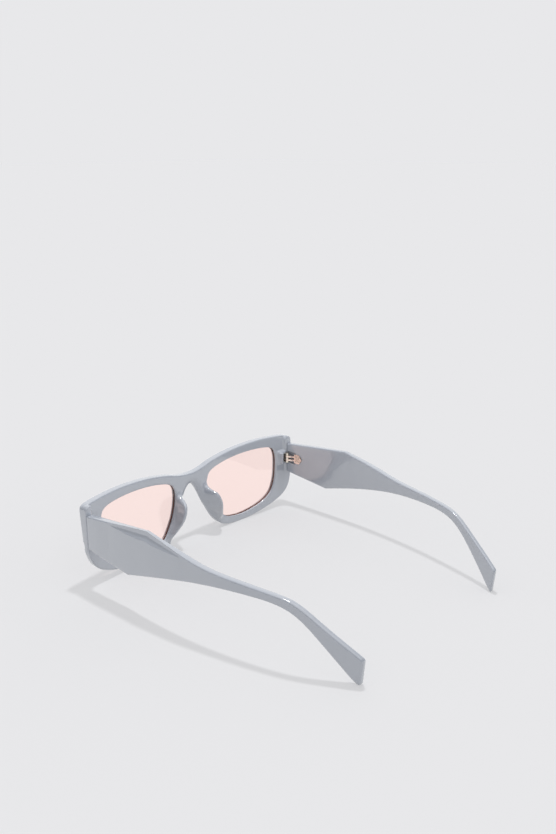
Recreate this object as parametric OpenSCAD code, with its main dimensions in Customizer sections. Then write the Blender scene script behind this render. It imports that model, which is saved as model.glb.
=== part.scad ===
// Chunky narrow sunglasses: a moulded front with two flat-tinted lenses,
// two deep sculpted temples and a five-knuckle metal hinge at each side.
// X runs across the face, +X is the wearer's left. The front looks to -Y,
// the temples run to +Y, and the glasses stand open on z = 0.

/* [Front] */
// Width of the seen part of one lens
lens_w = 50; // [46:0.5:54]
// Height of the seen part of one lens
lens_h = 34; // [31:0.5:37]
// Gap between the two lenses, across the nose
nose_gap = 23; // [21:0.5:25]
// Height of the rim under the lens
rim_low = 3.8; // [3:0.1:5]
// Height of the brow over the lens
rim_top = 4.8; // [4:0.1:6]
// Width of the end piece outside the lens
end_w = 10.5; // [9.5:0.5:12]
// How far the bridge dips below the brow
bridge_drop = 6.4; // [5:0.2:8]
// Height of the bridge, from its top to the arch over the nose
bridge_h = 6.4; // [5:0.2:8]
// Thickness of the front, rear face to front face
front_t = 3.8; // [3.4:0.1:4.6]
// How far the middle of the front lies forward of its ends
face_bow = 5.6; // [3:0.1:7]
// Lean of the front, its top forward, in degrees
lean = 5; // [2:0.5:8]
// Radius along the outer edges of the front
edge_r = 0.9; // [0.5:0.1:1.3]
// Radius along the rear edge of the arch over the nose
nose_r = 2.8; // [2:0.1:2.9]

/* [Lenses] */
// Thickness of a lens
lens_t = 1.6; // [1.2:0.1:1.8]
// Depth of the V groove in the rim
groove_depth = 0.9; // [0.6:0.1:1.2]
// Gap between the lens edge and the groove
lens_gap = 0.08; // [0.05:0.01:0.15]
// Depth of the lens below the rear face of the rim
lens_recess = 1.1; // [0.9:0.1:1.3]

/* [Nose pads] */
// How far the ridge of a pad stands behind the rim
pad_rise = 8.3; // [6.5:0.1:9.5]
// Thickness of the ridge of a pad
pad_t = 2.2; // [1.8:0.1:2.8]

/* [Temples] */
// Length of a temple, from the front to its tip
temple_len = 144.7; // [138:0.1:150]
// Height of a temple at the hinge
temple_h = 17.1; // [15:0.1:18.5]
// How far its top lies below the brow
brow_step = 5.7; // [5:0.1:7.5]
// Thickness of a temple at the hinge
temple_t = 3.8; // [3.4:0.1:4.2]
// Thickness of a temple at its tip
tip_t = 2.8; // [2.4:0.1:3.8]
// How far the tips bow in towards each other, each side
temple_bow = 20; // [12:0.5:24]
// Distance of the upper corner behind the hinge
peak_y = 41.3; // [36:0.1:46]
// How far that corner rises above the top at the hinge
peak_rise = 4.3; // [2:0.1:6]
// Distance of the lower corner behind the hinge
heel_y = 28.1; // [24:0.1:32]
// How far that corner drops below the underside at the hinge
heel_drop = 3.6; // [2:0.1:5]
// Distance of the thin waist behind the hinge
waist_y = 97.9; // [92:0.1:102]
// Height of the temple at the waist
waist_h = 4.5; // [3.5:0.1:5.5]
// Underside of the waist above the ground
waist_z = 27.7; // [26:0.1:29]
// Height of the flared tip
tip_h = 11.4; // [9:0.1:13]
// Radius along the edges of a temple
temple_r = 0.9; // [0.5:0.1:1.1]
// Height of the hollow under the upper corner
hollow_h = 3.4; // [2:0.1:4.5]
// Depth of that hollow
hollow_d = 1.4; // [0.5:0.1:1.6]

/* [Hinges] */
// Radius of the knuckles
knuckle_r = 1.15; // [1:0.05:1.3]
// Height of one knuckle
knuckle_h = 0.96; // [0.9:0.02:1.2]
// Gap between knuckles
knuckle_gap = 0.08; // [0.05:0.01:0.12]
// Diameter of the hinge screw
screw_d = 1.0; // [0.8:0.05:1.2]
// Gap round the screw
screw_gap = 0.04; // [0.02:0.01:0.08]
// Diameter of the screw head
head_d = 2.0; // [1.7:0.1:2.2]
// Height of the screw head
head_h = 0.5; // [0.4:0.05:0.7]
// Width of the slot in the screw head
slot_w = 0.3; // [0.2:0.05:0.4]
// Length of the anchor plate let into the temple
plate_len = 4.7; // [4:0.1:6]
// Thickness of the anchor plate
plate_t = 0.8; // [0.6:0.05:1]
// How far the plate stands proud of the temple
plate_proud = 0.3; // [0.2:0.05:0.4]
// Gap between the temple's end and the end piece
joint_gap = 0.2; // [0.15:0.05:0.3]
// How far the hinge lies above the middle of the temple's end
hinge_rise = 0.6; // [0:0.1:1.2]
// Distance of the hinge pin behind the temple's front end
pin_back = 1.4; // [1:0.05:1.6]
// Gap between the knuckles and the temple's inner face
pin_side = 0.3; // [0.1:0.05:0.4]
// Distance from the pin to the root of the fingers on the temple
finger_len = 4.8; // [4.2:0.1:5.4]
// Thickness of the leaf let into the front
leaf_t = 1; // [0.8:0.05:1.1]
// How far that leaf reaches into the front
leaf_sink = 2.2; // [1.8:0.1:2.6]
// Width of the boss inboard of the pin
boss_w = 3.6; // [3:0.1:4]
// Wall of the boss above and below the knuckles
boss_wall = 0.5; // [0.4:0.1:0.8]
// Width of the recess in the boss that shows the side of the leaf
recess_w = 1.3; // [0.8:0.1:1.6]
// Depth of the recess in the temple beside the knuckles
pocket_d = 1.5; // [1.2:0.1:1.8]
// Room above and below the knuckles in that recess
pocket_gap = 0.7; // [0.5:0.1:1]

/* [Hidden] */
plastic = "#A9AEB8";
tint = "#F9E2DC";
metal = "#D9B8A6";
steel = "#C9C9C6";

// Heights and half widths that the sizes above give
brow_z = rim_low + lens_h + rim_top;
bridge_z = brow_z - bridge_drop;
arch_z = bridge_z - bridge_h;
nose_x = nose_gap / 2;
half_w = nose_x + lens_w + end_w;
lens_mid = [nose_x + lens_w / 2, rim_low + lens_h / 2];
temple_top = brow_z - brow_step;
temple_low = temple_top - temple_h;
inner_x = half_w - temple_t;

// The temple's front end stands on y = 0 and the end piece just before it
end_y = -0.3;

// Hinge pin and the knuckles on it
hinge_z = temple_low + temple_h / 2 + hinge_rise;
pin = [inner_x - knuckle_r - pin_side, pin_back];
pitch = knuckle_h + knuckle_gap;
hinge_h = 5 * knuckle_h + 4 * knuckle_gap;
bore_r = screw_d / 2 + screw_gap;

// Gap round a hinge leaf in its seat, and the gap the knuckles turn in
seat_gap = 0.02;
turn_gap = 0.3;

// Foremost reach of the leaf in the front, and the rear face of its boss
leaf_y = end_y - leaf_sink;
boss_y = pin.y - knuckle_r - turn_gap;

// Recess in the temple that clears the knuckles
pocket_y = pin.y + finger_len;
pocket_h = hinge_h + 2 * pocket_gap;

// Moves the glasses so that the origin lies under their middle
module place() {
    translate([0, -centre_y, 0]) children();
}

function lens_x(u) = nose_x + u * lens_w;
function lens_z(v) = rim_low + v * lens_h;

// Rear face of the front, bowed across and leaning forward at the top
function rear_y(x, z) = end_y - face_bow * (1 - pow(x / half_w, 2))
    - tan(lean) * (z - lens_mid.y);

// Smooth curve through points, its slopes taken from the neighbours
function slope_at(p, i) = (p[i + 1] - p[i - 1])
    / (norm(p[i + 1] - p[i]) + norm(p[i] - p[i - 1]));
function blend(a, b, t) = (1 + 2 * t) * pow(1 - t, 2) * a + t * t * (3 - 2 * t) * b;
function lift(a, b, t) = t * pow(1 - t, 2) * a - t * t * (1 - t) * b;
function along(p, i, t) = blend(p[i], p[i + 1], t)
    + norm(p[i + 1] - p[i]) * lift(slope_at(p, i), slope_at(p, i + 1), t);
function curve(p, steps) = [for (i = [1 : len(p) - 3], s = [0 : steps - 1])
    along(p, i, s / steps)];

// Smooth height at y through rows of distance, height and slope
function rise(rows, y, i = 0) =
    i < len(rows) - 2 && y > rows[i + 1][0] ? rise(rows, y, i + 1) :
    let (a = rows[i], b = rows[i + 1], d = b[0] - a[0], t = (y - a[0]) / d)
    blend(a[1], b[1], t) + d * lift(a[2], b[2], t);

// Closed skin over rings of points, each ring the next section along
module skin(rings) {
    size = len(rings[0]);
    last = len(rings) - 1;
    function id(i, k) = i * size + k % size;
    polyhedron([for (r = rings, p = r) p], concat(
        [[for (k = [size - 1 : -1 : 0]) k]],
        [[for (k = [0 : size - 1]) id(last, k)]],
        [for (i = [0 : last - 1], k = [0 : size - 1]) each
            [[id(i, k), id(i + 1, k + 1), id(i + 1, k)],
            [id(i, k), id(i, k + 1), id(i + 1, k + 1)]]]));
}

// Block between two corners, its edges rounded
module block(low, high, r) {
    hull() for (x = [low.x + r, high.x - r], y = [low.y + r, high.y - r],
        z = [low.z + r, high.z - r]) translate([x, y, z]) sphere(r, $fn = 16);
}

// Lens opening as shares of the lens box, from the nose over the top
lens_keys = [for (k = [[0, 0.72], [0.03, 0.85], [0.13, 0.92], [0.35, 0.98], [0.62, 1],
    [0.86, 0.975], [0.965, 0.92], [1, 0.79], [0.99, 0.56], [0.96, 0.36], [0.89, 0.185],
    [0.74, 0.065], [0.5, 0], [0.32, 0.01], [0.215, 0.06], [0.13, 0.2], [0.045, 0.42]])
    [lens_x(k[0]), lens_z(k[1])]];
lens_count = len(lens_keys);
lens_ring = curve([for (i = [-1 : lens_count + 1])
    lens_keys[(i + lens_count) % lens_count]], 6);

// Edge of the opening by the angle about its middle, which falls from the bridge round
bridge_angle = atan2((bridge_z + arch_z) / 2 - lens_mid.y, -lens_mid.x);
function turn(p) = let (a = atan2(p.y - lens_mid.y, p.x - lens_mid.x))
    a > bridge_angle ? a - 360 : a;
lens_polar = [for (lap = [-360, 0, 360], p = lens_ring) [turn(p) + lap, norm(p - lens_mid)]];
function lens_edge(a) = lens_mid + lookup(a, lens_polar) * [cos(a), sin(a)];
function lens_out(a) = let (d = lens_edge(a - 2) - lens_edge(a + 2)) [-d.y, d.x] / norm(d);

// Outline of one half of the front, from the bridge over the brow to the arch
front_keys = [[0, bridge_z], [0.65 * nose_x, bridge_z + 0.8],
    [lens_x(0.07), bridge_z + 2.9], [lens_x(0.37), brow_z - 1], [lens_x(0.71), brow_z],
    [lens_x(0.97), brow_z - 0.5], [half_w - 3.2, brow_z - 1.4],
    [half_w - 0.7, brow_z - 2.5], [half_w, brow_z - 5], [half_w, lens_z(0.72)],
    [half_w, temple_low], [half_w - 1.4, lens_z(0.3)], [half_w - 3.6, lens_z(0.18)],
    [half_w - 8, lens_z(0.075)], [lens_x(0.87), 0.77 * rim_low],
    [lens_x(0.61), 0.1 * rim_low], [lens_x(0.43), 0], [lens_x(0.28), 0.06 * rim_low],
    [lens_x(0.16), 0.48 * rim_low], [1.28 * nose_x, 0.2 * arch_z],
    [0.96 * nose_x, 0.4 * arch_z], [0.66 * nose_x, 0.62 * arch_z],
    [0.41 * nose_x, 0.845 * arch_z], [0.21 * nose_x, 0.95 * arch_z], [0, arch_z]];
front_last = len(front_keys) - 1;
function flip(p) = [-p.x, p.y];
front_line = [for (p = concat(curve(concat([flip(front_keys[1])], front_keys,
    [flip(front_keys[front_last - 1])]), 3), [front_keys[front_last]]))
    [min(p.x, half_w), max(p.y, 0)]];
line_last = len(front_line) - 1;
function line_out(i) = i == 0 ? [0, 1] : i == line_last ? [0, -1] :
    let (d = front_line[i + 1] - front_line[i - 1]) [-d.y, d.x] / norm(d);

// Points across the seam at x = 0, between the arch and the top of the bridge
seam_steps = 2;
seam_line = [for (j = [1 : seam_steps])
    [0, arch_z + nose_r + (bridge_h - nose_r - edge_r) * j / (seam_steps + 1)]];

// Radius of the outer wall's rear edge, which grows round the nose
function rear_r(i) = let (t = min(max((i / line_last - 0.76) / 0.1, 0), 1))
    blend(edge_r, nose_r, t);

// Profiles of the outer wall and of the grooved opening: how far in or out, how deep
groove_mid = lens_recess + lens_t / 2;
rim_r = 0.3;
function wall(r) = [for (a = [0 : 30 : 180]) a < 90 ? r * [1 - sin(a), 1 - cos(a)] :
    [edge_r * (1 - sin(a)), front_t - edge_r * (1 + cos(a))]];
wall_n = len(wall(edge_r));
opening = [[rim_r, front_t], [0, front_t - rim_r], [0, groove_mid + lens_t / 2],
    [groove_depth, groove_mid], [0, groove_mid - lens_t / 2], [0, rim_r], [rim_r, 0]];

// One section through the rim along a ray from the middle of the lens
function in_front(p, d) = [p.x, rear_y(p.x, p.y) - d, p.y];
function section(p, out, share, r) =
    let (a = turn(p), q = lens_edge(a), n = lens_out(a))
    concat([for (w = wall(r)) in_front(p - share * w[0] * out, w[1])],
        [in_front((p + q) / 2, front_t)],
        [for (w = opening) in_front(q + w[0] * n, w[1])],
        [in_front((p + q) / 2, 0)]);
sections = concat(
    [for (i = [0 : line_last]) section(front_line[i], line_out(i), 1, rear_r(i))],
    [for (p = seam_line) section(p, [0, 1], 0, edge_r)]);

// Middle of the glasses, between the foremost point of the front and the tips
front_y = min([for (s = sections, p = s) p.y]);
centre_y = (front_y + temple_len) / 2;

// Both halves as one skin that shares its points on the seam
module front_body() {
    count = len(sections);
    size = len(sections[0]);
    function on_seam(i, k) = k < wall_n && (i == 0 || i >= line_last);
    function id(side, i, k) = let (s = i % count, c = k % size)
        (side == 1 && on_seam(s, c) ? 0 : side * count * size) + s * size + c;
    polyhedron(
        concat([for (s = sections, p = s) p], [for (s = sections, p = s) [-p.x, p.y, p.z]]),
        [for (side = [0, 1], i = [0 : count - 1], k = [0 : size - 1])
            if (i < line_last || k >= wall_n - 1) each
                [[id(side, i, k), id(side, i + 1 - side, k + side), id(side, i + 1, k + 1)],
                [id(side, i, k), id(side, i + 1, k + 1), id(side, i + side, k + 1 - side)]]]);
}

// Nose pad: a wedge that narrows to a rounded ridge, its foot sunk in the rim.
// Each row gives its height, its distance from the middle and its share of the rise.
pad_rows = [[0.94, 0.78, 0.04], [0.9, 0.8, 0.16], [0.87, 0.84, 0.36], [0.84, 0.89, 0.6],
    [0.8, 0.96, 0.82], [0.76, 1, 0.93], [0.71, 1.05, 0.99], [0.65, 1.1, 1], [0.59, 1.155, 0.97],
    [0.52, 1.21, 0.88], [0.45, 1.28, 0.75], [0.385, 1.36, 0.6], [0.32, 1.44, 0.45],
    [0.25, 1.515, 0.28], [0.19, 1.545, 0.11]];
pad_foot = 2.3;
pad_sink = 1.2;
pad_lean = 2.1;
module nose_pad() {
    skin([for (row = pad_rows)
        let (z = row[0] * arch_z, x = row[1] * nose_x, h = row[2] * pad_rise,
            base = rear_y(x, z))
        [for (a = [0 : 30 : 330]) let (c = cos(a), s = sin(a))
            s > 0 ? [x + c * pad_t / 2, base + h + (s - 1) * pad_t / 2, z] :
                [x + c * pad_foot - pad_lean * row[2],
                base - pad_sink * ((1 - c) - s) / 2, z]]]);
}

// How deep the end piece and the boss root in the front, and their edge radii
root = 3;
end_r = 0.6;
boss_r = 0.5;

// End piece, squared off behind so that the temple butts against it. It laps a
// little below the temple, and its upper inner corner stays under the brow.
end_lap = 0.4;
end_lip = 3;
module end_piece(inset, rear) {
    low = temple_low - end_lap + inset;
    corners = [for (i = [0 : line_last]) let (p = front_line[i])
        if (p.x > inner_x + 2 * end_r && p.y > low + end_r) p - (end_r + inset) * line_out(i),
        [inner_x + end_r - inset, brow_z - end_lip - inset],
        [inner_x + end_r - inset, low + end_r], [half_w - end_r - inset, low + end_r]];
    hull() for (p = corners, y = [end_y - root, rear - end_r])
        translate([p.x, y, p.y]) sphere(end_r, $fn = 16);
}

// Boss that holds the hinge, with a flared foot and a shoulder inboard of the knuckles
foot_flare = 0.6;
shoulder = 1;
recess_d = 1.4;
module boss() {
    low = [pin.x - boss_w, end_y - root, hinge_z - hinge_h / 2 - boss_wall];
    high_z = hinge_z + hinge_h / 2 + boss_wall;
    side_x = inner_x - 2 * pin_side;
    block(low - foot_flare * [1, 0, 1], [inner_x, end_y - boss_r, high_z + foot_flare], end_r);
    block(low, [side_x, boss_y, high_z], boss_r);
    block(low, [pin.x - knuckle_r - turn_gap, boss_y + shoulder, high_z], boss_r);
}

module fittings() {
    nose_pad();
    end_piece(0, -joint_gap);
    end_piece(boss_r, end_y - turn_gap);
    boss();
}

module front_frame() {
    color(plastic) place() difference() {
        union() {
            front_body();
            fittings();
            mirror([1, 0, 0]) fittings();
        }
        for (side = [0, 1]) mirror([side, 0, 0])
            translate([pin.x - knuckle_r, 0, hinge_z - hinge_h / 2 - seat_gap]) {
                translate([-seat_gap, leaf_y - seat_gap, 0])
                    cube([leaf_t + 2 * seat_gap, pin.y - leaf_y, hinge_h + 2 * seat_gap]);
                translate([-recess_w, boss_y - recess_d, 0])
                    cube([recess_w + leaf_t, recess_d + 2 * shoulder, hinge_h + 2 * seat_gap]);
            }
    }
}

// Lens cut on the same rays as its opening, with a V edge in the groove
module lens() {
    rays = [for (p = concat(front_line, seam_line)) turn(p)];
    layers = [[0.02, 0, -1], [0.5, 0, -1], [1, 0, -1], [1, groove_depth, 0], [1, 0, 1],
        [0.5, 0, 1], [0.02, 0, 1]];
    skin([for (l = layers) [for (a = rays)
        in_front(lens_mid + l[0] * (lens_edge(a) + (l[1] - lens_gap) * lens_out(a) - lens_mid),
            groove_mid + l[2] * (lens_t / 2 - lens_gap / 2))]]);
}

module left_lens() {
    color(tint) place() lens();
}

module right_lens() {
    color(tint) place() mirror([1, 0, 0]) lens();
}

// Where a temple starts to bow in, to turn down and to fall towards its tip
bow_y = 36;
turn_y = temple_len - 31.5;
fall_y = temple_len - 19.5;

// Heights of its edges there: above and below the waist half way to it, below
// the waist at the turn, and above the tip and the ground on the fall
mid_top = 3.1;
mid_low = 3.2;
turn_top = 1.6;
turn_low = 1.6;
fall_top = 13.2;
fall_low = 18.2;
toe = 1.4;

// Upper and lower edge of a temple as rows of distance, height and slope
waist_top = waist_z + waist_h;
top_rows = [[peak_y, temple_top + peak_rise, -0.2],
    [(peak_y + waist_y) / 2, waist_top + mid_top, -0.23], [waist_y, waist_top, -0.09],
    [turn_y, waist_top - turn_top, -0.18], [fall_y, tip_h + fall_top, -0.7],
    [temple_len, tip_h, -0.71]];
low_rows = [[heel_y, temple_low - heel_drop, 0.27],
    [(heel_y + waist_y) / 2, waist_z - mid_low, 0.19], [waist_y, waist_z, 0],
    [turn_y, waist_z - turn_low, -0.3], [fall_y, fall_low, -0.97],
    [temple_len - toe, 0, -1.01]];
function temple_high(y) = y < peak_y ?
    temple_top + peak_rise * y / peak_y : rise(top_rows, y);
function temple_under(y) = y < heel_y ?
    temple_low - heel_drop * y / heel_y : max(rise(low_rows, y), 0);
function temple_out(y) = half_w
    - temple_bow * pow(max(y - bow_y, 0) / (temple_len - bow_y), 2);

// Hollow under the upper corner: where it starts, is deepest and has faded
hollow_rows = [[peak_y - 33, 0, 0], [peak_y - 1, 1, 0], [peak_y + 30, 0, 0]];
function hollow(y) = y < hollow_rows[0][0] || y > hollow_rows[2][0] ? 0 : rise(hollow_rows, y);

// Rounding of a temple's front end and slant of the face at its tip
end_round = 0.3;
tip_slant = 1.2;

// One section of a temple, drawn in by e all round
function temple_ring(y, e) =
    let (low = temple_under(y), high = temple_high(y), out = temple_out(y) - e,
        t = temple_t + (tip_t - temple_t) * y / temple_len,
        in = out - t + 2 * e, r = temple_r - e * 0.8,
        slant = tip_slant * pow(y / temple_len, 12), b = hollow(y),
        side = out - b * hollow_d, lip = high - e - r)
    [for (q = [for (c = [[in + r, low + e + r, 180], [side - r, low + e + r, 270]],
            a = [0 : 30 : 90]) [c[0] + r * cos(c[2] + a), c[1] + r * sin(c[2] + a)],
        [side, lip - max(b * hollow_h, end_round)],
        [side + 0.35 * (out - side), lip - max(0.4 * b * hollow_h, 0.5 * end_round)],
        for (c = [[out - r, lip, 0], [in + r, lip, 90]],
            a = [0 : 30 : 90]) [c[0] + r * cos(c[2] + a), c[1] + r * sin(c[2] + a)]])
        [q[0], y - slant * (1 - (q[1] - low) / (high - low)), q[1]]];

module temple_body() {
    stations = [for (i = [0 : 4]) i * heel_y / 4, for (i = [1 : 4])
        heel_y + (peak_y - heel_y) * i / 4, for (i = [1 : 36])
        peak_y + (temple_len - temple_r - peak_y) * i / 36];
    skin([for (a = [0, 45]) temple_ring(end_round * (1 - cos(a)), end_round * (1 - sin(a))),
        for (y = stations) if (y > end_round) temple_ring(y, 0),
        for (a = [30, 60, 85]) temple_ring(temple_len - temple_r * (1 - sin(a)),
            temple_r * (1 - cos(a)))]);
}

// Anchor plate, pointed at its rear, drawn flat in y and z
plate_lap = 0.4;
plate_tip = 1.7;
module plate(grow) {
    h = hinge_h / 2 + grow;
    y0 = pocket_y - plate_lap - grow;
    y1 = pocket_y + plate_len + grow;
    polygon([[y0, -h], [y1 - plate_tip, -h], [y1, 0], [y1 - plate_tip, h], [y0, h]]);
}

// Raises a flat drawing in y and z along +X
module along_x(x, t) {
    translate([x, 0, hinge_z]) rotate([90, 0, 90]) linear_extrude(t) children();
}

module temple() {
    difference() {
        temple_body();
        translate([inner_x - pocket_d, -end_r, hinge_z - pocket_h / 2])
            cube([2 * pocket_d, pocket_y + end_r, pocket_h]);
        along_x(inner_x - plate_t, 2 * plate_t - plate_proud) plate(seat_gap);
    }
}

module left_temple() {
    color(plastic) place() temple();
}

module right_temple() {
    color(plastic) place() mirror([1, 0, 0]) temple();
}

// One knuckle with its bore and the neck that carries it
module knuckle(i) {
    translate([0, 0, hinge_z + i * pitch - knuckle_h / 2])
        linear_extrude(knuckle_h) difference() {
            union() {
                translate(pin) circle(knuckle_r, $fn = 48);
                children();
            }
            translate(pin) circle(bore_r, $fn = 32);
        }
}

module front_leaf() {
    x0 = pin.x - knuckle_r;
    for (i = [-2 : 2 : 2]) knuckle(i)
        translate([x0, leaf_y]) square([leaf_t, pin.y - leaf_y]);
    translate([x0, leaf_y, hinge_z - hinge_h / 2])
        cube([leaf_t, boss_y - turn_gap / 2 - leaf_y, hinge_h]);
}

module temple_leaf() {
    x1 = inner_x - plate_proud;
    x2 = x1 + plate_t;
    for (i = [-1 : 2 : 1]) knuckle(i)
        polygon([[pin.x - 0.5 * knuckle_r, pin.y + 0.8 * knuckle_r], [x1, pocket_y],
            [x2, pocket_y], [x2, pocket_y - knuckle_r], [pin.x + 0.9 * knuckle_r, pin.y]]);
    along_x(x1, plate_t) plate(0);
}

module left_front_hinge() {
    color(steel) place() front_leaf();
}

module right_front_hinge() {
    color(steel) place() mirror([1, 0, 0]) front_leaf();
}

module left_temple_hinge() {
    color(metal) place() temple_leaf();
}

module right_temple_hinge() {
    color(metal) place() mirror([1, 0, 0]) temple_leaf();
}

// Screw through all five knuckles, its slotted head on the top one
module screw() {
    top = hinge_z + hinge_h / 2;
    translate([pin.x, pin.y, 0]) {
        translate([0, 0, top - hinge_h]) cylinder(hinge_h, d = screw_d, $fn = 32);
        difference() {
            translate([0, 0, top]) cylinder(head_h, d = head_d, $fn = 32);
            translate([-head_d, -slot_w / 2, top + head_h / 2])
                cube([2 * head_d, slot_w, head_h]);
        }
    }
}

module left_hinge_screw() {
    color(steel) place() screw();
}

module right_hinge_screw() {
    color(steel) place() mirror([1, 0, 0]) screw();
}

front_frame();
left_lens();
right_lens();
left_temple();
right_temple();
left_front_hinge();
right_front_hinge();
left_temple_hinge();
right_temple_hinge();
left_hinge_screw();
right_hinge_screw();
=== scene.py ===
import math
import bmesh
import bpy
import numpy as np
from mathutils import Matrix, Vector
from mathutils.bvhtree import BVHTree
from mathutils.kdtree import KDTree


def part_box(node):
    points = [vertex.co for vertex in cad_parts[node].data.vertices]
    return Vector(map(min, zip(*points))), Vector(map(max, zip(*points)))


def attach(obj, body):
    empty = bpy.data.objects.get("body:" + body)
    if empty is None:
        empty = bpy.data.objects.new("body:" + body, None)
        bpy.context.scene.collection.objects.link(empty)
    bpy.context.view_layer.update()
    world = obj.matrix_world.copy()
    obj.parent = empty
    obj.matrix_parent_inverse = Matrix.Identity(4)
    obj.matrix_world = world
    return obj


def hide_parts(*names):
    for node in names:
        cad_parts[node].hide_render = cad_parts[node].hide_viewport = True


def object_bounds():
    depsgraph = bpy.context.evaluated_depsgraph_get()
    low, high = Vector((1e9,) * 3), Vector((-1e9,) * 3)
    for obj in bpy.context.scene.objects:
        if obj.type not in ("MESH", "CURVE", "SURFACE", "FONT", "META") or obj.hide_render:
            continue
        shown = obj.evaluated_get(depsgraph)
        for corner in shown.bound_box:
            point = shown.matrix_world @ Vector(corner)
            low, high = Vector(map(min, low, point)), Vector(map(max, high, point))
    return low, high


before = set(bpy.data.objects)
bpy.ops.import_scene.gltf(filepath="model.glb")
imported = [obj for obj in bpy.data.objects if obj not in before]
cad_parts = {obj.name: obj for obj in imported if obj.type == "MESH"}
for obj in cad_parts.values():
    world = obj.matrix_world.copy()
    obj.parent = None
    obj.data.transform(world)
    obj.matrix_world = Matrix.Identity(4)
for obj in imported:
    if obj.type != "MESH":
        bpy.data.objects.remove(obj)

cad_box = [list(corner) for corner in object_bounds()]
scene = bpy.context.scene

# The viewpoint. A long lens stands behind the wearer's left side and looks a
# little down past the near temple, with the glasses low in an upright frame.
PHOTO_H = 834
# The focal length in the photograph's pixels, for film 36 mm on its long side
FOCAL_PX = 900
LONG_SIDE = 36
STANDPOINT = (0.2978, 0.25635, 0.2019)
NEAREST_SEEN = 0.01
turn, tilt, roll = (math.radians(a) for a in (132.04, 16.99, -0.23))
ahead = Vector((-math.sin(turn) * math.cos(tilt), math.cos(turn) * math.cos(tilt),
    -math.sin(tilt)))
sideways = ahead.cross(Vector((0, 0, 1))).normalized()
above = sideways.cross(ahead)
across = sideways * math.cos(roll) + above * math.sin(roll)
upward = above * math.cos(roll) - sideways * math.sin(roll)
camera = bpy.data.objects.new("camera", bpy.data.cameras.new("camera"))
camera.data.lens = LONG_SIDE * FOCAL_PX / PHOTO_H
camera.data.clip_start = NEAREST_SEEN
camera.matrix_world = Matrix.Translation(STANDPOINT) @ Matrix(
    (across, upward, -ahead)).transposed().to_4x4()
scene.collection.objects.link(camera)
scene.camera = camera


# The sweep. A pale grey paper sheet runs under the glasses and out of sight,
# matt, so that it holds soft shadows and fills the picture evenly.
def linear(code):
    parts = [int(code[i:i + 2], 16) / 255 for i in (1, 3, 5)]
    return [c / 12.92 if c <= 0.04045 else ((c + 0.055) / 1.055) ** 2.4 for c in parts]


def add(tree, kind, inputs=(), **settings):
    made = tree.nodes.new(kind)
    for name, value in settings.items():
        setattr(made, name, value)
    for name, value in dict(inputs).items():
        socket = made.inputs[name]
        if isinstance(value, bpy.types.NodeSocket):
            tree.links.new(value, socket)
        elif isinstance(value, str):
            socket.default_value = linear(value) + [1]
        else:
            socket.default_value = value
    return made


def new_material(name):
    made = bpy.data.materials.new(name)
    made.use_nodes = True
    made.node_tree.nodes.clear()
    return made, made.node_tree


PAPER = "#E8E8EA"
LAMP = Vector((-0.098, -0.042, 0.769))
LAMP_SHARE = 0.36
# Shares of the paper's look that stay even, to the camera and in reflections
SEEN_EVEN = 0.5
MIRRORED_EVEN = 0.85
# The grey of the light that the paper throws back up at the glasses
BOUNCED = "#A0A0A2"
PAPER_REACH = 8
PAPER_BELOW = 0.00002
# Matt paper scatters the light evenly. The lamp's light on it falls as the cube
# of height over distance, and its colour is lifted by as much, so it looks even.
LAMP_FALL = 3.0
sweep_paper, tree = new_material("matt_sweep_paper")
spot = add(tree, "ShaderNodeNewGeometry")
far = add(tree, "ShaderNodeVectorMath", {0: spot.outputs["Position"], 1: LAMP},
    operation="DISTANCE")
near = add(tree, "ShaderNodeMath", {0: LAMP.z, 1: far.outputs["Value"]}, operation="DIVIDE")
fall = add(tree, "ShaderNodeMath", {0: near.outputs[0], 1: LAMP_FALL}, operation="POWER")
lit = add(tree, "ShaderNodeMath", {0: fall.outputs[0], 1: LAMP_SHARE, 2: 1 - LAMP_SHARE},
    operation="MULTIPLY_ADD")
evened = add(tree, "ShaderNodeVectorMath", {0: linear(PAPER)}, operation="SCALE")
lift = add(tree, "ShaderNodeMath", {0: 1.0, 1: lit.outputs[0]}, operation="DIVIDE")
tree.links.new(lift.outputs[0], evened.inputs["Scale"])
matt = add(tree, "ShaderNodeBsdfDiffuse", {"Color": evened.outputs[0]})
dim = add(tree, "ShaderNodeBsdfDiffuse", {"Color": BOUNCED})
flat = add(tree, "ShaderNodeEmission", {"Color": PAPER, "Strength": 1.0})
seen_paper = add(tree, "ShaderNodeMixShader", {0: SEEN_EVEN, 1: matt.outputs[0],
    2: flat.outputs[0]})
white = add(tree, "ShaderNodeEmission", {"Color": "#FFFFFF", "Strength": 1.0})
mirrored = add(tree, "ShaderNodeMixShader", {0: MIRRORED_EVEN, 1: matt.outputs[0],
    2: white.outputs[0]})
ray = add(tree, "ShaderNodeLightPath")
plain = add(tree, "ShaderNodeMixShader", {0: ray.outputs["Is Camera Ray"],
    1: dim.outputs[0], 2: seen_paper.outputs[0]})
bent = add(tree, "ShaderNodeMath", {0: ray.outputs["Is Glossy Ray"],
    1: ray.outputs["Is Transmission Ray"]}, operation="MAXIMUM")
all_ways = add(tree, "ShaderNodeMixShader", {0: bent.outputs[0], 1: plain.outputs[0],
    2: mirrored.outputs[0]})
add(tree, "ShaderNodeOutputMaterial", {"Surface": all_ways.outputs[0]})
sheet = bpy.data.meshes.new("sweep")
sheet.from_pydata([(x * PAPER_REACH, y * PAPER_REACH, 0)
    for x, y in ((-1, -1), (1, -1), (1, 1), (-1, 1))], [], [(0, 1, 2, 3)])
sweep = bpy.data.objects.new("sweep", sheet)
sweep.data.materials.append(sweep_paper)
sweep.location.z = cad_box[0][2] - PAPER_BELOW
scene.collection.objects.link(sweep)

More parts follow.
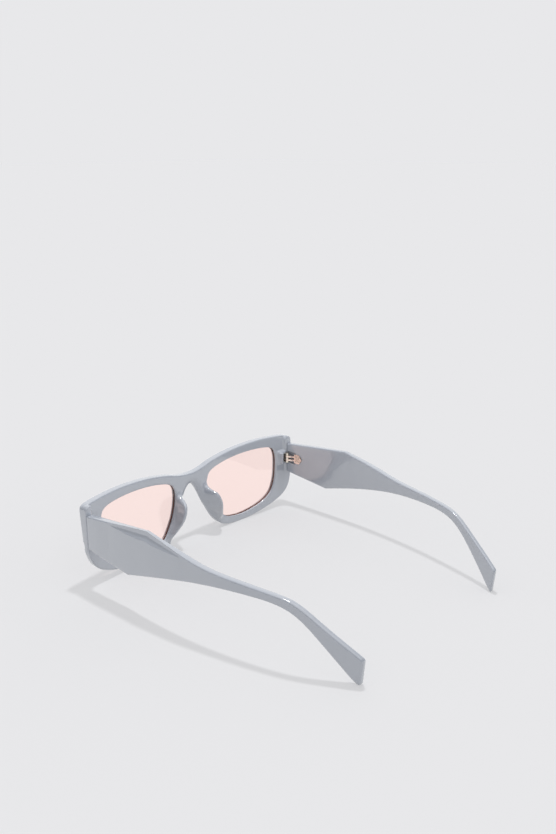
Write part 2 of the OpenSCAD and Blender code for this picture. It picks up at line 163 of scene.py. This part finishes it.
# The studio. White tents give an even light from all round, stronger low down,
# and one lamp nearly overhead throws the thin shadows of the temples. Polished
# surfaces mirror a white backing and a white roof, and a dark room at the sides.
LOW_TENT, HIGH_TENT = 1.0, 0.46
MIRRORED_ROOM, MIRRORED_TENT = 0.1, 0.95
TO_BACKING = (-0.743, -0.669, 0)
BACKING_FROM, BACKING_FULL = 0.3, 0.8
ROOF_FROM, ROOF_FULL = 0.55, 0.85
LAMP_RADIUS = 0.028
studio = bpy.data.worlds.new("white_tent")
studio.use_nodes = True
studio.node_tree.nodes.clear()
tree = studio.node_tree
place = add(tree, "ShaderNodeTexCoord")
height = add(tree, "ShaderNodeSeparateXYZ", {0: place.outputs["Generated"]})
glow = add(tree, "ShaderNodeMapRange", {"Value": height.outputs["Z"], "From Min": 0.0,
    "From Max": 1.0, "To Min": LOW_TENT, "To Max": HIGH_TENT})
tent = add(tree, "ShaderNodeBackground", {"Color": "#FFFFFF", "Strength": glow.outputs[0]})
backdrop = add(tree, "ShaderNodeBackground", {"Color": PAPER, "Strength": 1.0})
ray = add(tree, "ShaderNodeLightPath")
plain = add(tree, "ShaderNodeMixShader", {0: ray.outputs["Is Camera Ray"],
    1: tent.outputs[0], 2: backdrop.outputs[0]})
behind = add(tree, "ShaderNodeVectorMath", {0: place.outputs["Generated"],
    1: TO_BACKING}, operation="DOT_PRODUCT")
backing, roof = (add(tree, "ShaderNodeMapRange", {"Value": level, "From Min": start,
    "From Max": full, "To Min": MIRRORED_ROOM, "To Max": MIRRORED_TENT},
    interpolation_type="SMOOTHSTEP") for level, start, full in (
    (behind.outputs["Value"], BACKING_FROM, BACKING_FULL),
    (height.outputs["Z"], ROOF_FROM, ROOF_FULL)))
tents = add(tree, "ShaderNodeMath", {0: backing.outputs[0], 1: roof.outputs[0]},
    operation="MAXIMUM")
white = add(tree, "ShaderNodeBackground", {"Color": "#FFFFFF", "Strength": tents.outputs[0]})
bent = add(tree, "ShaderNodeMath", {0: ray.outputs["Is Glossy Ray"],
    1: ray.outputs["Is Transmission Ray"]}, operation="MAXIMUM")
choice = add(tree, "ShaderNodeMixShader", {0: bent.outputs[0], 1: plain.outputs[0],
    2: white.outputs[0]})
add(tree, "ShaderNodeOutputWorld", {"Surface": choice.outputs[0]})
scene.world = studio
scene.view_settings.view_transform = "Standard"

# The lamp's power in watts lights white paper under it to LAMP_SHARE of white.
small_lamp = bpy.data.objects.new("small_lamp", bpy.data.lights.new("small_lamp", "POINT"))
small_lamp.data.shadow_soft_size = LAMP_RADIUS
small_lamp.data.energy = 4 * math.pi ** 2 * LAMP.z ** 2 * LAMP_SHARE
small_lamp.location = LAMP
scene.collection.objects.link(small_lamp)

# The front. Rims, bridge, nose pads, end pieces and hinge bosses are one
# injection-moulded piece of grey polycarbonate, polished to an even gloss,
# so its surfaces run into each other with small moulded radii.
MM = 0.001
# The colour mixer's sockets: how much, its two colours, and what comes out
MUCH, ONE, OTHER, MIXED = 0, 6, 7, 2
# Polished polycarbonate keeps a faint cloud from the flow in the mould, about
# 15 mm across, a 4 mm ripple in its gloss, and hairline rubs from handling. Real
# rubs are too fine to show, and they are drawn 0.25 mm wide and 6 mm long.
moulded_grey, tree = new_material("polished_grey_polycarbonate")
where = add(tree, "ShaderNodeTexCoord")
cloud = add(tree, "ShaderNodeTexNoise", {"Vector": where.outputs["Object"],
    "Scale": 1 / (15 * MM), "Detail": 2.0, "Roughness": 0.4})
shade = add(tree, "ShaderNodeMix", {MUCH: cloud.outputs[0], ONE: "#BCC2CD",
    OTHER: "#C3C8D2"}, data_type="RGBA")
ripple = add(tree, "ShaderNodeTexNoise", {"Vector": where.outputs["Object"],
    "Scale": 1 / (4 * MM), "Detail": 1.0, "Roughness": 0.3})
drawn = add(tree, "ShaderNodeMapping", {"Vector": where.outputs["Object"],
    "Scale": (1, 0.04, 1)})
rubs = add(tree, "ShaderNodeTexNoise", {"Vector": drawn.outputs[0],
    "Scale": 1 / (0.25 * MM), "Detail": 2.0, "Roughness": 0.7})
hairlines = add(tree, "ShaderNodeMapRange", {"Value": rubs.outputs[0], "From Min": 0.62,
    "From Max": 0.72, "To Min": 0.0, "To Max": 0.1})
base_gloss = add(tree, "ShaderNodeMapRange", {"Value": ripple.outputs[0], "From Min": 0.3,
    "From Max": 0.7, "To Min": 0.11, "To Max": 0.17})
gloss = add(tree, "ShaderNodeMath", {0: base_gloss.outputs[0], 1: hairlines.outputs[0]},
    operation="ADD")
waves = add(tree, "ShaderNodeBump", {"Height": ripple.outputs[0], "Strength": 1.0,
    "Distance": 0.03 * MM})
plastic = add(tree, "ShaderNodeBsdfPrincipled", {"Base Color": shade.outputs[MIXED],
    "Roughness": gloss.outputs[0], "Normal": waves.outputs[0], "IOR": 1.58,
    "Coat Weight": 1.0, "Coat IOR": 1.7, "Coat Roughness": 0.06,
    "Coat Normal": waves.outputs[0]})
add(tree, "ShaderNodeOutputMaterial", {"Surface": plastic.outputs[0]})

# The solid is drawn over with an even skin of small faces that lies on it, and
# where a pad, a boss or an end piece grows out of the rim, the skin is drawn
# smooth, as the mould is.
SKIN_STEP = 0.25 * MM
# The share of its faces that stays when it is thinned out at the end, and how
# far the large faces lead its shading
SKIN_KEPT = 0.3
FLAT_WEIGHT = 90
SAME_SPOT = 1e-6


def applied(piece):
    made = bpy.data.meshes.new_from_object(
        piece.evaluated_get(bpy.context.evaluated_depsgraph_get()))
    piece.modifiers.clear()
    piece.data = made
    return made


def skin_over(node, name):
    piece = bpy.data.objects.new(name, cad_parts[node].data.copy())
    scene.collection.objects.link(piece)
    evener = piece.modifiers.new("skin", "REMESH")
    evener.mode = "VOXEL"
    evener.voxel_size = SKIN_STEP
    made = applied(piece)
    points = np.empty(len(made.vertices) * 3)
    made.vertices.foreach_get("co", points)
    return piece, points.reshape(-1, 3)


def finish_skin(piece, points, body, node):
    piece.data.vertices.foreach_set("co", points.ravel())
    piece.data.update()
    piece.modifiers.new("thinner", "DECIMATE").ratio = SKIN_KEPT
    made = applied(piece)
    made.materials.clear()
    made.materials.append(moulded_grey)
    made.polygons.foreach_set("use_smooth", [True] * len(made.polygons))
    piece.modifiers.new("flats", "WEIGHTED_NORMAL").weight = FLAT_WEIGHT
    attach(piece, body)
    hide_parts(node)


def eased(t):
    t = np.clip(t, 0, 1)
    return t * t * (3 - 2 * t)


front, points = skin_over("front_frame", "moulded_front")
shape = bmesh.new()
shape.from_mesh(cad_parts["front_frame"].data)
bmesh.ops.remove_doubles(shape, verts=shape.verts, dist=SAME_SPOT)
surface = BVHTree.FromBMesh(shape)
panes = []
for node in ("left_lens", "right_lens"):
    pane = bmesh.new()
    pane.from_mesh(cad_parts[node].data)
    panes.append(BVHTree.FromBMesh(pane))
# The hollow corners are found first. Those at the seat of the hinge leaf and in
# the grooves of the lenses stay crisp. The rest get blends, wide ones round the
# nose and small ones elsewhere.
SEAT = 1.8 * MM
SEAT_SLACK = 0.1 * MM
GROOVE_CLEAR = 0.8 * MM
NOSE_REACH = 24 * MM
NOSE_BLEND = 2.6 * MM
OTHER_BLEND = 0.9 * MM
CREASE_STEP = 0.2 * MM
HOLLOW_ANGLE = -math.radians(18)
leaf_low, leaf_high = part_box("left_front_hinge")
creases = []
for edge in shape.edges:
    if len(edge.link_faces) != 2 or edge.calc_face_angle_signed(0) > HOLLOW_ANGLE:
        continue
    middle = (edge.verts[0].co + edge.verts[1].co) / 2
    reach = Vector((abs(middle.x), middle.y, middle.z))
    in_seat = all(leaf_low[k] - (SEAT if k < 2 else SEAT_SLACK) < reach[k] <
        leaf_high[k] + SEAT_SLACK for k in range(3))
    if in_seat or min(pane.find_nearest(middle)[3] for pane in panes) < GROOVE_CLEAR:
        continue
    radius = NOSE_BLEND if reach.x < NOSE_REACH else OTHER_BLEND
    steps = max(int(edge.calc_length() / CREASE_STEP), 1)
    creases += [(edge.verts[0].co.lerp(edge.verts[1].co, k / steps), radius)
        for k in range(steps + 1)]
nearest = KDTree(len(creases))
for i, (spot, radius) in enumerate(creases):
    nearest.insert(spot, i)
nearest.balance()
# Away from the blends the skin lies on the solid, and in them it is evened out.
SHARE_ON_SOLID = 0.02
share = np.zeros(len(points))
for i, p in enumerate(points):
    spot, k, distance = nearest.find(p)
    share[i] = eased(1 - distance / creases[k][1])
    if share[i] < SHARE_ON_SOLID:
        points[i] = surface.find_nearest(p)[0]
ends = np.empty(len(front.data.edges) * 2, dtype=int)
front.data.edges.foreach_get("vertices", ends)
ends = ends.reshape(-1, 2)
start = np.concatenate([ends[:, 0], ends[:, 1]])
stop = np.concatenate([ends[:, 1], ends[:, 0]])
neighbours = np.bincount(start, minlength=len(points))[:, None]
SMOOTH_PULL = 0.9
SMOOTH_PASSES = 70
pull = share[:, None] * SMOOTH_PULL
for _ in range(SMOOTH_PASSES):
    mean = np.stack([np.bincount(start, points[stop, k], len(points))
        for k in range(3)], 1) / neighbours
    points += (mean - points) * pull
finish_skin(front, points, "front", "front_frame")

# The lenses. Each is a flat-tinted pink plastic sheet, cut to shape with a V edge
# and snapped into the groove. The tint is weak and lets most of the light through.
# A face that looks this much forwards or backwards is pane, and the rest is edge.
FLAT_FACING = 0.8
# Edges that bend by more than this stay crisp.
SHARP = math.radians(35)
# Dyed lens plastic is clear and glossy, with the dye a touch deeper here and
# there over some 40 mm.
lens_tint, tree = new_material("pink_tinted_lens")
where = add(tree, "ShaderNodeTexCoord")
dye = add(tree, "ShaderNodeTexNoise", {"Vector": where.outputs["Object"],
    "Scale": 1 / (40 * MM), "Detail": 1.0, "Roughness": 0.3})
tint = add(tree, "ShaderNodeMix", {MUCH: dye.outputs[0], ONE: "#FDE5E0",
    OTHER: "#FDE7E2"}, data_type="RGBA")
sheen = add(tree, "ShaderNodeBsdfPrincipled", {"Base Color": tint.outputs[MIXED],
    "Roughness": 0.0, "IOR": 1.5, "Transmission Weight": 1.0})
open_way = add(tree, "ShaderNodeBsdfTransparent", {"Color": "#FEF2EF"})
ray = add(tree, "ShaderNodeLightPath")
lens = add(tree, "ShaderNodeMixShader", {0: ray.outputs["Is Shadow Ray"],
    1: sheen.outputs[0], 2: open_way.outputs[0]})
add(tree, "ShaderNodeOutputMaterial", {"Surface": lens.outputs[0]})
# The edge is ground with a wheel, which leaves it matt, with fine lines. They are drawn
# 0.3 mm apart, coarser than real ones, so they show. Its darker brown is painted shade:
# it stands for the shadow in the groove round the lens, laid on the matt ground edge.
ground_edge_and_painted_groove_shade, tree = new_material("ground_lens_edge_and_painted_groove_shade")
where = add(tree, "ShaderNodeTexCoord")
wheel = add(tree, "ShaderNodeTexNoise", {"Vector": where.outputs["Object"],
    "Scale": 1 / (0.3 * MM), "Detail": 2.0, "Roughness": 0.6})
tone = add(tree, "ShaderNodeMix", {MUCH: wheel.outputs[0], ONE: "#744E42",
    OTHER: "#8A6355"}, data_type="RGBA")
gloss = add(tree, "ShaderNodeMapRange", {"Value": wheel.outputs[0], "To Min": 0.6,
    "To Max": 0.8})
grooves = add(tree, "ShaderNodeBump", {"Height": wheel.outputs[0], "Strength": 1.0,
    "Distance": 0.02 * MM})
frosted = add(tree, "ShaderNodeBsdfPrincipled", {"Base Color": tone.outputs[MIXED],
    "Roughness": gloss.outputs[0], "Normal": grooves.outputs[0], "IOR": 1.5})
add(tree, "ShaderNodeOutputMaterial", {"Surface": frosted.outputs[0]})


def dress(node, material):
    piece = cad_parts[node]
    mesh = piece.data
    mesh.materials.clear()
    mesh.materials.append(material)
    if "custom_normal" in mesh.attributes:
        mesh.attributes.remove(mesh.attributes["custom_normal"])
    mesh.polygons.foreach_set("use_smooth", [True] * len(mesh.polygons))
    piece.modifiers.new("weld", "WELD").merge_threshold = SAME_SPOT
    piece.modifiers.new("split", "EDGE_SPLIT").split_angle = SHARP
    piece.modifiers.new("normals", "WEIGHTED_NORMAL").keep_sharp = True
    return piece


# The panes take the tint, and the edge faces take the ground edge, whose dark brown is
# painted groove shade.
for node in ("left_lens", "right_lens"):
    pane = dress(node, lens_tint)
    pane.data.materials.append(ground_edge_and_painted_groove_shade)
    for face in pane.data.polygons:
        face.material_index = int(abs(face.normal.y) < FLAT_FACING)

# The temples. Each is moulded in the same grey plastic, deep at the hinge and
# drawn out to a thin waist and a flared tip behind the ear. A long crescent is
# cut off its upper outer corner at the peak, a little hollow, with a crisp edge.
TEMPLES = ((1, "left_arm"), (-1, "right_arm"))
# The cut goes in by up to 1.5 mm at the corner, 0.15 mm below the top edge, and
# runs out 0.75 mm further down, or more where it is deeper.
CORNER_DOWN = 0.15 * MM
CUT_IN = 1.5 * MM
CUT_DOWN = 0.75 * MM
DOWN_PER_SETBACK = 2.5
# The solid's side is set back from its lip, by up to 1.4 mm at the peak. That
# says how deep and long the cut is at each place, and the set-back is filled.
FULL_SETBACK = 1.4 * MM
SIDE_DOWN = 5.5 * MM
FILL_DEPTH = 1.4 * MM
OUTER_SKIN = 0.3 * MM
FADE_SETBACK = 0.4 * MM
FAR_OUT = 100 * MM
EVENED_ROWS = 7
# Where the top edge is lower than this, the temple is thin and keeps its corner.
PEAK_FOOT = 35.4 * MM
for side, body in TEMPLES:
    name = ("left" if side == 1 else "right") + "_temple"
    arm, points = skin_over(name, "moulded_" + name)
    shape = bmesh.new()
    shape.from_mesh(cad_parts[name].data)
    surface = BVHTree.FromBMesh(shape)
    for i, p in enumerate(points):
        points[i] = surface.find_nearest(p)[0]
    y, out = points[:, 1], side * points[:, 0]
    slices = np.arange(y.min() + MM / 2, y.max() - MM, MM)
    slice_of = np.round((y - slices[0]) / MM)
    tops = np.array([points[slice_of == k, 2].max() for k in range(len(slices))])
    lips = np.array([out[slice_of == k].max() for k in range(len(slices))])
    flanks = np.array(lips)
    for k, place in enumerate(slices):
        hit = surface.ray_cast(Vector((side * FAR_OUT, place, tops[k] - SIDE_DOWN)),
            Vector((-side, 0, 0)))[0]
        if hit:
            flanks[k] = side * hit.x
    lips, flanks = (np.convolve(np.pad(rows, EVENED_ROWS // 2, "edge"),
        np.ones(EVENED_ROWS) / EVENED_ROWS, "valid") for rows in (lips, flanks))
    top, lip, flank = (np.interp(y, slices, rows) for rows in (tops, lips, flanks))
    setback = np.clip(lip - flank, 0, None) * eased((top - PEAK_FOOT) / MM)
    depth = CUT_IN * setback / FULL_SETBACK
    # 0 at the corner and 1 at the foot of the cut, which is deepest at the corner
    down = (top - points[:, 2] - CORNER_DOWN) / (CUT_DOWN + DOWN_PER_SETBACK * setback)
    cut = lip - depth * (1 - np.clip(down, 0, 1) ** 2)
    filled = out + setback * eased((out - flank + FILL_DEPTH) / MM)
    outer = (out > flank - OUTER_SKIN) | (down >= 1)
    share = np.where(outer & (down > 0), eased(setback / FADE_SETBACK), 0)
    moved = out + (np.where(down < 1, cut, filled) - out) * share
    points[:, 0] = side * np.where(down > 0, moved, np.minimum(out, lip - depth))
    finish_skin(arm, points, body, name)

# The hinge leaves and the screws. They are stamped and turned in plated steel,
# polished, so they mirror the studio.
LEAVES_AND_SCREWS = ("left_front_hinge", "right_front_hinge", "left_hinge_screw",
    "right_hinge_screw")
# Stamped steel keeps fine drawn lines under the plating. Real ones lie closer
# than 0.1 mm, and they are drawn 0.3 mm apart and 6 mm long, so that they show.
plated_steel, tree = new_material("polished_plated_steel")
where = add(tree, "ShaderNodeTexCoord")
drawn = add(tree, "ShaderNodeMapping", {"Vector": where.outputs["Object"],
    "Scale": (1, 0.05, 1)})
lines = add(tree, "ShaderNodeTexNoise", {"Vector": drawn.outputs[0],
    "Scale": 1 / (0.3 * MM), "Detail": 2.0, "Roughness": 0.6})
tone = add(tree, "ShaderNodeMix", {MUCH: lines.outputs[0], ONE: "#CFC3B2",
    OTHER: "#EDE6DA"}, data_type="RGBA")
gloss = add(tree, "ShaderNodeMapRange", {"Value": lines.outputs[0], "From Min": 0.3,
    "From Max": 0.7, "To Min": 0.12, "To Max": 0.3})
ridges = add(tree, "ShaderNodeBump", {"Height": lines.outputs[0], "Strength": 1.0,
    "Distance": 0.02 * MM})
steel = add(tree, "ShaderNodeBsdfPrincipled", {"Base Color": tone.outputs[MIXED],
    "Metallic": 1.0, "Roughness": gloss.outputs[0], "Normal": ridges.outputs[0]})
add(tree, "ShaderNodeOutputMaterial", {"Surface": steel.outputs[0]})
for node in LEAVES_AND_SCREWS:
    dress(node, plated_steel)

# The anchor plates. They are let into the temples, plated in rose gold, and their
# faces are pressed with a diamond knurl that grips the plastic over them.
PLATE_T = 0.8 * MM
PLATE_LEN = 5.1 * MM
PLATE_TIP = 1.7 * MM
# The real knurl is too fine to show, and it is drawn as coarse as this.
KNURL_PITCH = 1.15 * MM
KNURL_H = 0.25 * MM
KNURL_ROOT = 0.02 * MM
CROWN_SHARE = 0.3
ROWS_EACH_SIDE = 3
# The diamonds keep this far from the straight edges, and at the plate's point
# they may pass the slanting ones by 12%.
MARGIN = 0.12 * MM
TIP_SLACK = 1.12
# Rose gold plating mirrors the studio in a warm pale pink, and the 0.4 mm grit
# that the press leaves under it makes its gloss uneven.
rose_plate, tree = new_material("knurled_rose_gold_plate")
where = add(tree, "ShaderNodeTexCoord")
grit = add(tree, "ShaderNodeTexNoise", {"Vector": where.outputs["Object"],
    "Scale": 1 / (0.4 * MM), "Detail": 2.0, "Roughness": 0.6})
tone = add(tree, "ShaderNodeMix", {MUCH: grit.outputs[0], ONE: "#EBCFC0",
    OTHER: "#FBEBE0"}, data_type="RGBA")
gloss = add(tree, "ShaderNodeMapRange", {"Value": grit.outputs[0], "From Min": 0.3,
    "From Max": 0.7, "To Min": 0.16, "To Max": 0.34})
rose = add(tree, "ShaderNodeBsdfPrincipled", {"Base Color": tone.outputs[MIXED],
    "Metallic": 1.0, "Roughness": gloss.outputs[0]})
add(tree, "ShaderNodeOutputMaterial", {"Surface": rose.outputs[0]})
for side, body in TEMPLES:
    node = ("left" if side == 1 else "right") + "_temple_hinge"
    dress(node, rose_plate)
    low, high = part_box(node)
    face_x = (high.x - PLATE_T) if side == 1 else (low.x + PLATE_T)
    tip_y, mid_z, half_h = high.y, (low.z + high.z) / 2, (high.z - low.z) / 2
    reach = KNURL_PITCH / 2
    room = half_h - MARGIN
    knurl = bmesh.new()
    for i in range(int(PLATE_LEN / KNURL_PITCH) + 2):
        for j in range(-ROWS_EACH_SIDE, ROWS_EACH_SIDE + 1):
            for shift in (0, 0.5):
                y = tip_y - (i + shift) * KNURL_PITCH - MARGIN
                z = mid_z + (j + shift) * KNURL_PITCH
                past_end = y - reach < tip_y - PLATE_LEN + MARGIN
                past_side = abs(z - mid_z) + reach > room
                past_point = (y + reach - tip_y + PLATE_TIP) / PLATE_TIP + \
                    abs(z - mid_z) / room > TIP_SLACK
                if past_end or past_side or past_point:
                    continue
                foot, crown = ([knurl.verts.new((x, y + a * size, z + b * size))
                    for a, b in ((1, 0), (0, 1), (-1, 0), (0, -1))] for x, size in (
                    (face_x + side * KNURL_ROOT, reach),
                    (face_x - side * KNURL_H, reach * CROWN_SHARE)))
                knurl.faces.new(crown)
                knurl.faces.new(foot[::-1])
                for k in range(4):
                    knurl.faces.new((foot[k], foot[(k + 1) % 4], crown[(k + 1) % 4],
                        crown[k]))
    bmesh.ops.recalc_face_normals(knurl, faces=knurl.faces)
    pressed = bpy.data.meshes.new("knurl")
    knurl.to_mesh(pressed)
    pressed.materials.append(rose_plate)
    grip = bpy.data.objects.new(node.replace("temple_hinge", "plate_knurl"), pressed)
    scene.collection.objects.link(grip)
    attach(grip, body)
